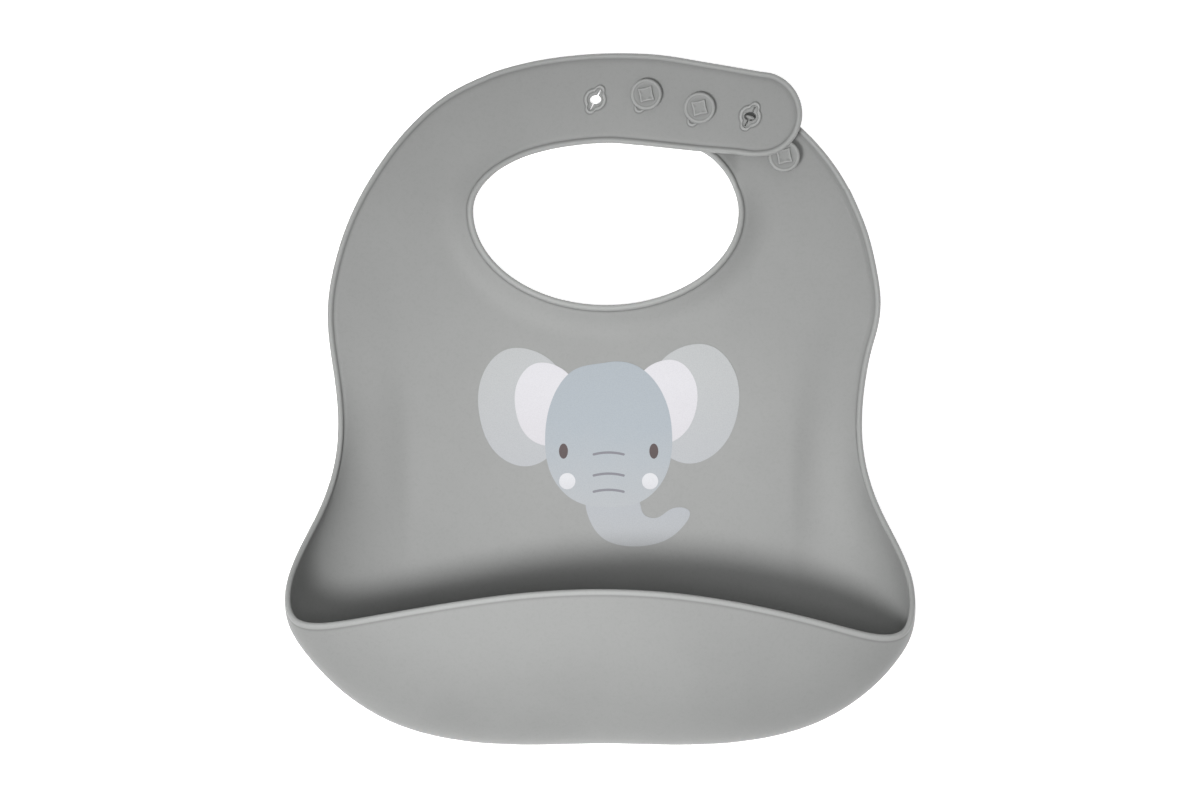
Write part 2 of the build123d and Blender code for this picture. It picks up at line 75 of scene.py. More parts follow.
HUNG, DROP = 2.3, (40.0, 51.8)  # how far the button strap hangs below it, and the X where it drops back

BUTTONS = [(17.6, 112.6), (37.0, 107.5), (53.6, 99.4), (67.9, 89.9)]
HEAD_RADIUS, HEAD, HEAD_Z, STEM_RADIUS = 5.8, 1.5, 4.5, 1.8
PAD, PAD_TURN = 5.4, 12.0
EYELETS = [(55.3, 104.4), (35.9, 106.0), (16.5, 111.1), (-1.6, 110.9)]
USED_EYELETS = (1, 2)
LOBE_TURN, LOBE_REACH, LOBE_RADIUS = 62.0, 3.9, 1.9
EYE_RADIUS, RIM_WIDTH = 4.1, 1.2
FREE_OPENING = (2.1, 1.6)  # half axes of an unused eyelet's oval opening
SLIT, SLIT_PAST_LOBE = 0.27, 0.1  # half width of the slit across it, and its reach past the lobes' centres
USED_OPENING_GAP = 1.6  # an eyelet in use is stretched open by this all round the stem
EYELET_SPACE = 7.3  # radius round an eyelet that its own rings fill

# left half of the pocket, from the shoulder to the middle: each row has the four control points of the
# curve from the panel's fold to the rim
LEFT_ROWS = [
    ((-79, 16, 0), (-86, 16, 0), (-92, 16, 0), (-99.5, 16, 0)),
    ((-76, -2, 0), (-83, -2, 0), (-90, -2, 0.6), (-96.8, -2, 2.5)),
    ((-74, -20, 0), (-83, -20, 0), (-92, -20.5, 1.5), (-97, -20, 7)),
    ((-73, -37, 0), (-86, -37, 0), (-98, -38, 3), (-101.4, -37.5, 14.5)),
    ((-73, -52, 0), (-89, -52, 0), (-108, -54, 5), (-109, -52, 23)),
    ((-73, -64, 0), (-92, -65, 0), (-115, -68, 8), (-113.8, -64, 31)),
    ((-73, -74, 0), (-94, -77, 0), (-119, -80, 13), (-114.4, -73.5, 36.5)),
    ((-72, -82, 0), (-94, -88, 0), (-120, -91, 18), (-111.5, -80, 39.7)),
    ((-70, -89, 0), (-92, -99, 0), (-117, -103, 22), (-105, -81.5, 41)),
    ((-65, -95, 0), (-85, -112, 0), (-108, -118.5, 27), (-96, -80.6, 42)),
    ((-56, -100, 0), (-72, -126, 0), (-89, -133.5, 33), (-80, -77.5, 43.6)),
    ((-42, -103, 0), (-50, -134, 0), (-59, -141, 38), (-55, -73, 45.5)),
    ((-22, -104, 0), (-25, -136, 0), (-28, -142, 41), (-28, -69, 47.3)),
    ((0, -104, 0), (0, -134, 0), (0, -141, 42), (0, -67.5, 48)),
]

LEAN, LEAN_FROM, LEAN_OVER = 1.8, -80.0, 30.0  # the pocket's bottom leans this far to the right below a Y
RIGHT_SAG = {6: 1.5, 7: 4.0, 8: 4.5, 9: 4.0, 10: 2.0, 11: 0.5}  # by row: how much lower the right rim lies

SHOULDER_REACH = (20.5, 13.5, 7.5, 0.0)  # control points of a shoulder's rows, inward from the edge
LEFT_SHOULDER_ROWS, RIGHT_SHOULDER_ROWS = 17, 9
NECK_STOPS = (212, 246, 270, 294, 328)  # angles of the neck edge opposite the pocket's rows
COLLAR_STATIONS = (5, 6.5, 8, 10, 12, 14, 16.5)  # distances from the neck edge, past the rolled edge
FLAT_STATIONS, WALL_STATIONS = 22, 40
CREASE_SHADE, CREASE_WIDTH = 0.5, 7  # painted shade along a soft crease at the panel's fold
CREASE_Y, CREASE_LENGTH = -22, 34

# section of the rolled edge: distance from the edge, front and back of the sheet, ridge (+) or groove (-),
# where the silicone is painted lighter or darker
EDGE_SECTION = [
    (0.0, 1.0, 1.0, 0.6),
    (0.08, 1.39, 0.61, 0.8),
    (0.3, 1.71, 0.29, 1.0),
    (0.62, 1.95, 0.05, 1.0),
    (1.0, 2.05, 0.0, 1.0),
    (1.4, 2.0, 0.0, 1.0),
    (1.8, 1.78, 0.0, 0.7),
    (2.05, 1.5, 0.0, -0.5),
    (2.3, 1.32, 0.0, -1.0),
    (2.65, 1.32, 0.0, -0.4),
    (3.2, 1.45, 0.0, 0.0),
    (3.8, 1.5, 0.0, 0.0),
]


# ---- shared shapes

def smooth(t):
    """0 to 1 with level ends."""
    t = np.clip(t, 0.0, 1.0)
    return t * t * (3 - 2 * t)


def neck_distance(x, y):
    """How far outside the neck edge a point lies, and its angle about the neck's centre in degrees."""
    dx, dy = x - NECK_X, y - NECK_Y
    height = np.where(dy < 0, NECK_BELOW, np.where(dx < 0, NECK_ABOVE_LEFT, NECK_ABOVE_RIGHT))
    low, high = np.full_like(dx, -20.0), np.full_like(dx, 300.0)
    for _ in range(40):
        out = (low + high) / 2
        outside = (dx / (NECK_HALF_WIDTH + out)) ** 2 + (dy / (height + out)) ** 2 > 1
        low, high = np.where(outside, out, low), np.where(outside, high, out)
    angle = np.degrees(np.arctan2(dy / (height + out), dx / (NECK_HALF_WIDTH + out)))
    return out, np.where(angle < 90, angle + 360, angle)


def collar_height(x, y):
    """Rise of the sheet towards the neck edge."""
    out, angle = neck_distance(x, y)
    rise = np.full_like(out, COLLAR_RISE)
    for start, full in COLLAR_FADES:
        rise = rise * smooth((angle - start) / (full - start))
    return rise * np.clip(1 - out / COLLAR_WIDTH, 0, 1.3) ** 2


def hole_strap_lift(x):
    """Climb of the hole strap onto the button strap and the third button."""
    return TIP_LIFT * smooth((x - RISE[0]) / (RISE[1] - RISE[0]))


def button_strap_lift(x):
    """Lift of the button strap where it hangs from the two buttons in use."""
    hung = hole_strap_lift(np.minimum(x, DROP[0])) - HUNG
    return hung * smooth((DROP[1] - x) / (DROP[1] - DROP[0]))


def hole_strap_height(x, y):
    return hole_strap_lift(x) + collar_height(x, y)


def button_strap_height(x, y):
    return button_strap_lift(x) + collar_height(x, y)


def through(points, count):
    """That many points evenly along a smooth curve through the given ones."""
    p = np.array(points, float)
    chord = np.concatenate([[0], np.cumsum(np.linalg.norm(np.diff(p, axis=0), axis=1))])
    slopes = np.gradient(p, chord, axis=0)
    fine = np.linspace(0, chord[-1], 60 * len(p))
    i = np.clip(np.searchsorted(chord, fine, side="right") - 1, 0, len(p) - 2)
    h = (chord[i + 1] - chord[i])[:, None]
    t = (fine - chord[i])[:, None] / h
    curve = (2 * t**3 - 3 * t**2 + 1) * p[i] + (t**3 - 2 * t**2 + t) * h * slopes[i]
    curve += (3 * t**2 - 2 * t**3) * p[i + 1] + (t**3 - t**2) * h * slopes[i + 1]
    return evenly(curve, count)


def evenly(curve, count):
    """A polyline's points, spaced evenly along it."""
    length = np.concatenate([[0], np.cumsum(np.linalg.norm(np.diff(curve, axis=0), axis=1))])
    places = np.linspace(0, length[-1], count)
    return np.stack([np.interp(places, length, curve[:, k]) for k in range(curve.shape[1])], axis=1)


def make_mesh(name, points, faces, relief):
    """A smooth-shaded mesh object from points in mm; relief is 1 on a ridge and -1 in a groove, and sets
    the painted highlight and shade there.
    """
    points = np.array(points, float) * MM
    points[:, 1] -= ORIGIN_Y * MM
    mesh = bpy.data.meshes.new(name)
    mesh.from_pydata(points.tolist(), [], faces)
    mesh.attributes.new("relief", "FLOAT", "POINT").data.foreach_set("value", np.array(relief, np.float32))
    mesh.validate()
    mesh.update()
    mesh.shade_smooth()
    mesh.set_sharp_from_angle(angle=SHARP_ANGLE)
    piece = bpy.data.objects.new(name, mesh)
    bpy.context.scene.collection.objects.link(piece)
    return piece


# ---- body: one closed shell from the neck edge over the panel to the pocket's rim

def body_rows():
    """Sections of the outer face from one strap's bend round the pocket to the other's."""
    def shoulder(edge, count, angles):
        rows = []
        for k, (x, y) in enumerate(through(edge, count)):
            a = math.radians(np.interp(k, (0, count - 1), angles))
            inward = np.array([math.cos(a), math.sin(a)])
            rows.append([(*(np.array([x, y]) + inward * d), 0.0) for d in SHOULDER_REACH])
        return rows

    left = shoulder(LEFT_EDGE, LEFT_SHOULDER_ROWS, (-90, 0))[:-1]
    right = shoulder(RIGHT_EDGE, RIGHT_SHOULDER_ROWS, (180, 180))[1:]
    pocket = [list(row) for row in LEFT_ROWS]
    for number in reversed(range(len(LEFT_ROWS) - 1)):
        row = [(-x, y, z) for x, y, z in LEFT_ROWS[number]]
        x, y, z = row[3]
        row[3] = (x, y - RIGHT_SAG.get(number, 0.0), z)
        pocket.append(row)
    rows = np.array(left + pocket + right, float)
    rows[:, :, 0] += LEAN * np.clip((LEAN_FROM - rows[:, :, 1]) / LEAN_OVER, 0, 1)
    return rows, len(left), len(right)


def spline_rows(rows, s):
    """The sections at row numbers s of the smooth surface that the rows control."""
    first, last = 2 * rows[0] - rows[1], 2 * rows[-1] - rows[-2]
    padded = np.concatenate([[first], rows, [last]])
    i = np.clip(s.astype(int), 0, len(rows) - 2)
    f = (s - i)[:, None, None]
    total = padded[i] * (1 - f) ** 3 + padded[i + 1] * (3 * f**3 - 6 * f**2 + 4)
    total += padded[i + 2] * (-3 * f**3 + 3 * f**2 + 3 * f + 1) + padded[i + 3] * f**3
    return total / 6


def bezier(section, v):
    """Points along sections, whose four control points are on axis 1."""
    v = v[:, None]
    u = 1 - v
    a, b, c, d = (section[None, k] for k in range(4))
    return a * u**3 + b * (3 * u * u * v) + c * (3 * u * v * v) + d * v**3


def body_grid(columns=420):
    """Back face of the shell as a grid, each point's front and back offset, and its ridge or groove with
    the fold's painted shade.
    """
    rows, left_count, right_count = body_rows()
    last = len(rows) - 1
    coarse = np.linspace(0, last, 2000)
    rim = spline_rows(rows, coarse)[:, 3]
    length = np.concatenate([[0], np.cumsum(np.linalg.norm(np.diff(rim, axis=0), axis=1))])
    s = np.interp(np.linspace(0, length[-1], columns), length, coarse)
    sections = spline_rows(rows, s)

    ends = (math.degrees(math.acos((HOLE_BEND - NECK_X) / NECK_HALF_WIDTH)),
            360 + math.degrees(math.asin((BUTTON_BEND - NECK_Y) / NECK_ABOVE_RIGHT)))
    middle = left_count + len(LEFT_ROWS) - 1
    stops = (0, left_count, middle - 4, middle, middle + 4, last - right_count, last)
    angle = np.radians(np.interp(s, stops, (ends[0], *NECK_STOPS, ends[1])))
    height = np.where(np.sin(angle) < 0, NECK_BELOW,
                      np.where(np.cos(angle) < 0, NECK_ABOVE_LEFT, NECK_ABOVE_RIGHT))
    neck = np.stack([NECK_X + NECK_HALF_WIDTH * np.cos(angle), NECK_Y + height * np.sin(angle)], axis=1)
    neck_normal = np.stack([np.cos(angle) / NECK_HALF_WIDTH, np.sin(angle) / height], axis=1)
    neck_normal /= np.linalg.norm(neck_normal, axis=1)[:, None]

    rim = sections[:, 3]
    along = np.gradient(rim, axis=0)
    along /= np.linalg.norm(along, axis=1)[:, None]
    edge_d = np.array([section[0] for section in EDGE_SECTION])
    collar_d = np.array(COLLAR_STATIONS)
    collar_span = collar_d[-1] - edge_d[-1]
    grid = []
    for k in range(len(s)):
        fold = sections[k, 0, :2]
        across = fold - neck[k]
        span = np.linalg.norm(across)
        across /= span
        slant = across @ neck_normal[k]
        near = edge_d / slant
        # on a narrow stretch, the collar's stations close up to three quarters of what is left
        room = 0.75 * (span - near[-1]) * slant / collar_span
        collar = near[-1] + (collar_d - edge_d[-1]) / slant * min(1.0, room)
        step = (span - collar[-1]) / FLAT_STATIONS
        flat = collar[-1] + step * np.arange(1, FLAT_STATIONS + 1)
        reach = np.concatenate([near, collar, flat])
        level = neck[k] + across * reach[:, None]

        v = np.linspace(0, 1, 400)
        wall = bezier(sections[k], v)
        run = np.concatenate([[0], np.cumsum(np.linalg.norm(np.diff(wall, axis=0), axis=1))])
        up = sections[k, 3] - sections[k, 2]
        up /= np.linalg.norm(up)
        tilt = math.sqrt(1 - (up @ along[k]) ** 2)
        far = run[-1] - edge_d[::-1] / tilt
        places = np.concatenate([np.linspace(0, far[0], WALL_STATIONS)[1:-1], far])
        wall = np.stack([np.interp(places, run, wall[:, c]) for c in range(3)], axis=1)
        flat_part = np.column_stack([level, collar_height(level[:, 0], level[:, 1])])
        wall[:, 2] += collar_height(wall[:, 0], wall[:, 1]) * (wall[:, 2] < 1)
        grid.append(np.concatenate([flat_part, wall]))
    grid = np.array(grid)
    total = grid.shape[1]
    front, back, relief = np.full(total, SHEET), np.zeros(total), np.zeros(total)
    for k, (_, high, low, ridge) in enumerate(EDGE_SECTION):
        for place in (k, total - 1 - k):
            front[place], back[place], relief[place] = high, low, ridge
    fold = grid[:, len(flat_part)]
    reach = np.linalg.norm(grid - fold[:, None], axis=2)
    across_crease = np.exp(-((reach / CREASE_WIDTH) ** 2))
    along_crease = np.exp(-(((fold[:, 1] - CREASE_Y) / CREASE_LENGTH) ** 2))[:, None]
    # painted shade: the relief is lowered along the fold, so the silicone is coloured darker in the crease
    return grid, front, back, relief - CREASE_SHADE * across_crease * along_crease


def shell_between(name, grid, front, back, relief):
    """A shell over a grid whose two long edges are rounded; it is open where the straps go on."""
    along, across = np.gradient(grid, axis=0), np.gradient(grid, axis=1)
    normal = np.cross(along, across)
    normal /= np.linalg.norm(normal, axis=2)[:, :, None]
    on_panel = normal[len(grid) // 2, len(EDGE_SECTION) + 8, 2]
    if on_panel < 0:
        normal = -normal
    back_points = grid + normal * back[:, None]
    front_points = grid + normal * front[:, None]
    loops = np.concatenate([back_points, front_points[:, -2:0:-1]], axis=1)
    columns, around = loops.shape[:2]
    faces = []
    for i in range(columns - 1):
        for j in range(around):
            k = (j + 1) % around
            faces.append((i * around + j, i * around + k, (i + 1) * around + k, (i + 1) * around + j))
    relief = np.concatenate([relief, relief[:, -2:0:-1]], axis=1)
    return make_mesh(name, loops.reshape(-1, 3), faces, relief.ravel())


body_shell = shell_between("bib_shell", *body_grid())
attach(body_shell, "bib_body")
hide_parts("chest_panel", "shoulder_bead_left", "shoulder_bead_right", "neck_collar",
            "neck_bead", "pocket_side_left", "pocket_front", "pocket_side_right", "pocket_bead")


# ---- straps

def offset_curve(curve, distance):
    """The polyline moved that far to its left."""
    tangent = np.gradient(curve, axis=0)
    tangent /= np.linalg.norm(tangent, axis=1)[:, None]
    return curve + np.stack([-tangent[:, 1], tangent[:, 0]], axis=1) * distance


def cut_curve(curve, side):
    """The stretch of a polyline between the two places where side(point) changes sign."""
    value = side(curve)
    start = np.argmax(value > 0)
    stop = len(value) - 1 - np.argmax(value[::-1] > 0)
    def crossing(a, b):
        t = value[a] / (value[a] - value[b])
        return curve[a] + (curve[b] - curve[a]) * t
    return np.concatenate([[crossing(start - 1, start)], curve[start:stop + 1], [crossing(stop, stop + 1)]])


def strap_loop(inner, outer, tip_side):
    """A strap's outline from its inner edge round the tip to its outer edge, anticlockwise."""
    radius = (outer[-1][1] - inner[-1][1]) / 2
    middle = (outer[-1][1] + inner[-1][1]) / 2
    tip = []
    for turn in np.radians([-70, -50, -30, -10, 10, 30, 50, 70]):
        tip.append((inner[-1][0] + tip_side * radius * math.cos(turn), middle + radius * math.sin(turn)))
    return through(inner + tip + outer[::-1], 1200)


def eyelet_rings(index):
    """Rings of points round an eyelet, from its opening out to the smooth strap, with their heights."""
    centre = np.array(EYELETS[index])
    turn = math.radians(LOBE_TURN)
    # closer points on both sides of each lobe's middle, where the slit is
    extra = [turn + side + d for side in (0, math.pi) for d in (-0.16, -0.09, -0.05, 0.05, 0.09, 0.16)]
    even = np.linspace(0, 2 * math.pi, 72, endpoint=False)
    phi = np.sort(np.mod(np.concatenate([even, extra]), 2 * math.pi))
    from_lobe = np.arcsin(np.sin(phi - turn))
    near = np.abs(np.sin(from_lobe)) * LOBE_REACH < LOBE_RADIUS
    span = np.sqrt(np.clip(LOBE_RADIUS**2 - (LOBE_REACH * np.sin(from_lobe)) ** 2, 0, None))
    lobe = np.where(near, LOBE_REACH * np.cos(from_lobe) + span, 0)
    rim = np.maximum(EYE_RADIUS, lobe)
    rim = (np.roll(rim, 1) + 2 * rim + np.roll(rim, -1)) / 4
    if index in USED_EYELETS:
        opening = np.full_like(phi, STEM_RADIUS + USED_OPENING_GAP)
    else:
        wide, tall = FREE_OPENING
        oval = 1 / np.sqrt((np.cos(phi) / wide) ** 2 + (np.sin(phi) / tall) ** 2)
        slit = np.minimum(LOBE_REACH + SLIT_PAST_LOBE, SLIT / np.maximum(np.abs(np.sin(from_lobe)), 1e-3))
        opening = np.maximum(oval, slit)
    inner = np.maximum(rim - RIM_WIDTH, opening + 0.12)
    crest = (inner + rim) / 2
    # radius, lift over the sheet, and ridge or groove
    rings = [(opening, -0.35, -0.6), (opening + 0.1, -0.1, 0.2), (opening * 0.5 + inner * 0.5, 0.0, 0.2),
             (inner, 0.04, -0.8), (inner * 0.75 + crest * 0.25, 0.5, 1.2), (crest, 0.65, 1.4),
             (crest * 0.3 + rim * 0.7, 0.5, 1.2), (rim, 0.02, -1.4), (rim + 0.3, 0.0, -0.8),
             (rim + 0.6, 0.0, 0.0), ((rim + 0.6 + EYELET_SPACE) / 2, 0.0, 0.0),
             (np.full_like(phi, EYELET_SPACE), 0.0, 0.0)]
    directions = np.stack([np.cos(phi), np.sin(phi)], axis=1)
    return [(centre + directions * radius[:, None], lift, ridge) for radius, lift, ridge in rings]


def strap_shell(name, loop, side, height, eyelets=(), spacing=1.6, around=440):
    """A strap's closed shell: rounded edge rings, a filled middle, and eyelets with real openings."""
    rings = [evenly(cut_curve(offset_curve(loop, d), side), around) for d, *_ in EDGE_SECTION]
    core_edge = rings[-1]
    a, b = core_edge[-1], core_edge[0]
    count = max(3, int(np.linalg.norm(b - a) / spacing))
    seam_points = a + (b - a) * (np.arange(1, count) / count)[:, None]
    border = np.concatenate([core_edge, seam_points])
    holes = [eyelet_rings(index) for index in eyelets]

    low, high = border.min(axis=0), border.max(axis=0)
    gx, gy = np.meshgrid(np.arange(low[0], high[0], spacing), np.arange(low[1], high[1], spacing * 0.9))
    gx[1::2] += spacing / 2
    candidates = np.stack([gx.ravel(), gy.ravel()], axis=1)
    inside = inside_polygon(candidates, border)
    gap = np.min(np.linalg.norm(candidates[:, None] - border[None, ::3], axis=2), axis=1)
    inside &= gap > spacing * 0.6
    for rings_here in holes:
        middle = rings_here[-1][0].mean(axis=0)
        inside &= np.linalg.norm(candidates - middle, axis=1) > EYELET_SPACE + spacing * 0.6
    grid = candidates[inside]

    points = list(border)
    edges = [(i, (i + 1) % len(border)) for i in range(len(border))]
    for rings_here in holes:
        circle = rings_here[-1][0]
        start = len(points)
        points += list(circle)
        edges += [(start + i, start + (i + 1) % len(circle)) for i in range(len(circle))]
    points += list(grid)
    plan = geometry.delaunay_2d_cdt([Vector(p) for p in points], edges, [], 0, 1e-6)
    made, _, triangles, origins, *_ = plan
    out_points = np.array([points[o[0]] if o else tuple(p) for p, o in zip(made, origins)])
    centres = np.array([out_points[list(t)].mean(axis=0) for t in triangles])
    keep = inside_polygon(centres, border)
    for rings_here in holes:
        keep &= ~inside_polygon(centres, rings_here[-1][0])

    flat, section, faces = [], [], []

    def put(xy, high, low, ridge=0.0):
        start = len(flat)
        flat.extend(xy)
        section.extend([(high, low, ridge)] * len(xy))
        return start

    ring_starts = [put(ring, *values[1:]) for ring, values in zip(rings, EDGE_SECTION)]
    for first, second in zip(ring_starts[:-1], ring_starts[1:]):
        for i in range(around - 1):
            faces.append((first + i, first + i + 1, second + i + 1, second + i))
    core_start = put(out_points, SHEET, 0.0)
    faces += [tuple(core_start + i for i in t) for t, wanted in zip(triangles, keep) if wanted]
    for rings_here in holes:
        starts = [put(xy, SHEET + lift, max(0.0, -lift), ridge) for xy, lift, ridge in rings_here]
        around_hole = len(rings_here[0][0])
        for first, second in zip(starts[:-1], starts[1:]):
            for i in range(around_hole):
                j = (i + 1) % around_hole
                faces.append((first + i, first + j, second + j, second + i))
    return thicken_plan(name, np.array(flat), np.array(section), faces, height, side)


def inside_polygon(points, polygon):
    """Which points lie inside a closed polygon."""
    x, y = points[:, 0], points[:, 1]
    inside = np.zeros(len(points), bool)
    ax, ay = polygon[:, 0], polygon[:, 1]
    bx, by = np.roll(ax, -1), np.roll(ay, -1)
    for x0, y0, x1, y1 in zip(ax, ay, bx, by):
        if y0 == y1:
            continue
        crosses = (y0 > y) != (y1 > y)
        inside ^= crosses & (x < (x1 - x0) * (y - y0) / (y1 - y0) + x0)
    return inside


def thicken_plan(name, flat, section, faces, height, side):
    """A shell from a flat mesh, raised to a height field and given two faces; open where side is zero."""
    step = 0.05
    x, y = flat[:, 0], flat[:, 1]
    level = height(x, y)
    slope_x = (height(x + step, y) - height(x - step, y)) / (2 * step)
    slope_y = (height(x, y + step) - height(x, y - step)) / (2 * step)
    normal = np.stack([-slope_x, -slope_y, np.ones_like(x)], axis=1)
    normal /= np.linalg.norm(normal, axis=1)[:, None]
    base = np.column_stack([flat, level])
    top, bottom = base + normal * section[:, :1], base + normal * section[:, 1:2]

    # weld points that share a place in the plan, then join the two faces along every open edge
    keys, index = {}, []
    for p in flat:
        index.append(keys.setdefault((round(p[0], 4), round(p[1], 4)), len(keys)))
    order = np.full(len(keys), -1)
    for i, k in enumerate(index):
        if order[k] < 0:
            order[k] = i
    top, bottom = top[order], bottom[order]
    count = len(keys)
    upper, uses = [], {}
    for face in faces:
        corners = list(dict.fromkeys(index[i] for i in face))
        if len(corners) < 3:
            continue
        p = flat[order[corners]]
        area = sum(p[i - 1][0] * p[i][1] - p[i][0] * p[i - 1][1] for i in range(len(p)))
        if area < 0:
            corners.reverse()
        upper.append(tuple(corners))
        for i in range(len(corners)):
            uses[(corners[i - 1], corners[i])] = uses.get((corners[i - 1], corners[i]), 0) + 1
    lower = [tuple(count + i for i in reversed(face)) for face in upper]
    at_bend = np.abs(side(flat[order])) < 0.01
    walls = []
    for a, b in uses:
        if (b, a) not in uses and not (at_bend[a] and at_bend[b]):
            walls.append((a, a + count, b + count, b))
    relief = np.tile(section[order, 2], 2)
    piece = make_mesh(name, np.concatenate([top, bottom]), upper + lower + walls, relief)
    weld(piece)
    return piece


def weld(piece):
    """Merges points that coincide, such as the two faces along a rounded edge."""
    work = bmesh.new()
    work.from_mesh(piece.data)
    bmesh.ops.remove_doubles(work, verts=work.verts, dist=2e-6)
    bmesh.ops.recalc_face_normals(work, faces=work.faces)
    work.to_mesh(piece.data)
    work.free()


hole_loop = strap_loop(HOLE_INNER, HOLE_OUTER, 1)
hole_strap = strap_shell("hole_strap_shell", hole_loop, lambda p: p[:, 0] - HOLE_BEND, hole_strap_height,
                         eyelets=range(4))
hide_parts("hole_strap_band", "hole_strap_bead",
            "eyelet_1", "eyelet_2", "eyelet_3", "eyelet_4")

button_loop = strap_loop(BUTTON_INNER, BUTTON_OUTER, -1)[::-1]
button_strap = strap_shell("button_strap_shell", button_loop, lambda p: p[:, 1] - BUTTON_BEND,
                           button_strap_height)
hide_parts("button_strap_band", "button_strap_bead")

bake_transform(hole_strap)
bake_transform(button_strap)


# ---- buttons

def button_mesh():
    """The four studs in one mesh: a flared stem, a soft-edged head, and a square pad with hollow sides."""
    points, faces, relief = [], [], []
    around = 64
    turn = np.linspace(0, 2 * math.pi, around, endpoint=False)
    phi = turn + math.radians(PAD_TURN)
    circle = np.ones(around)
    from_side = np.mod(turn + math.pi / 4, math.pi / 2) - math.pi / 4
    pad = PAD * 0.47 / np.cos(from_side) * (0.93 + 0.07 * (from_side * 4 / math.pi) ** 2)
    top = HEAD_Z + HEAD
    foot, crown = SHEET - 0.1, top + 0.28
    # radius past the stem's or head's own, height, and ridge or groove
    stem_rings = [(1.2, foot, 0), (0.5, SHEET + 0.25, 0), (0.1, SHEET + 0.7, 0), (0.0, SHEET + 1.2, 0),
                  (0.0, HEAD_Z - 0.35, 0), (0.3, HEAD_Z, 0)]
    head_rings = [(-0.7, HEAD_Z + 0.02, 0), (-0.25, HEAD_Z + 0.16, 0), (-0.03, HEAD_Z + 0.5, 0.3),
                  (0.0, HEAD_Z + 0.8, 0.6), (-0.08, HEAD_Z + 1.1, 0.9), (-0.3, top - 0.16, 1),
                  (-0.6, top - 0.02, 1), (-0.95, top, 0.8), (-1.2, top - 0.16, -0.4), (-1.6, top - 0.2, 0)]
    rings = [(circle * (STEM_RADIUS + more), z, ridge) for more, z, ridge in stem_rings]
    rings += [(circle * (HEAD_RADIUS + more), z, ridge) for more, z, ridge in head_rings]
    rings += [(pad + 0.4, top - 0.2, -0.6), (pad + 0.08, top - 0.2, -1.4), (pad, top + 0.4, 1.2),
              (pad - 0.25, top + 0.5, 1.2), (pad - 0.6, top + 0.46, 0.6), (pad * 0.72, top + 0.3, 0),
              (pad * 0.4, crown, 0)]
    for x, y in BUTTONS:
        start = len(points)
        lift = float(button_strap_lift(np.float64(x)))
        slope = float(button_strap_lift(x + 0.5) - button_strap_lift(x - 0.5))
        cosine = 1 / math.hypot(1, slope)
        sine = slope * cosine

        def place(r, p, z):
            along = r * math.cos(p)
            return (x + along * cosine - z * sine, y + r * math.sin(p), lift + along * sine + z * cosine)

        for radius, z, ridge in rings:
            points += [place(r, p, z) for r, p in zip(radius, phi)]
            relief += [ridge] * around
        for k in range(len(rings) - 1):
            for i in range(around):
                j = (i + 1) % around
                a, b = start + k * around, start + (k + 1) * around
                faces.append((a + i, a + j, b + j, b + i))
        for k, z, flip in ((0, foot, True), (len(rings) - 1, crown, False)):
            middle = len(points)
            relief.append(0)
            points.append(place(0.0, 0.0, z))
            for i in range(around):
                j = (i + 1) % around
                ring = start + k * around
                faces.append((middle, ring + j, ring + i) if flip else (middle, ring + i, ring + j))
    return points, faces, relief


studs = make_mesh("button_studs", *button_mesh())
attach(studs, "button_strap")
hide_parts("buttons")


# ---- materials

def new_material(name):
    """An empty node material, its shader and a helper that adds a node."""
    material = bpy.data.materials.new(name)
    material.use_nodes = True
    tree = material.node_tree
    tree.nodes.clear()
    output = tree.nodes.new("ShaderNodeOutputMaterial")
    shader = tree.nodes.new("ShaderNodeBsdfPrincipled")
    tree.links.new(shader.outputs["BSDF"], output.inputs["Surface"])

    def node(kind, **values):
        made = tree.nodes.new("ShaderNode" + kind)
        for key, value in values.items():
            if key in made.inputs:
                made.inputs[key].default_value = value
            else:
                setattr(made, key, value)
        return made

    return material, tree, shader, node


def noise(tree, node, scale, detail=3.0, roughness=0.55, source=None):
    """A noise texture over the object's own coordinates."""
    where = source or node("TexCoord").outputs["Object"]
    made = node("TexNoise", Scale=scale, Detail=detail, Roughness=roughness)
    tree.links.new(where, made.inputs["Vector"])
    return made


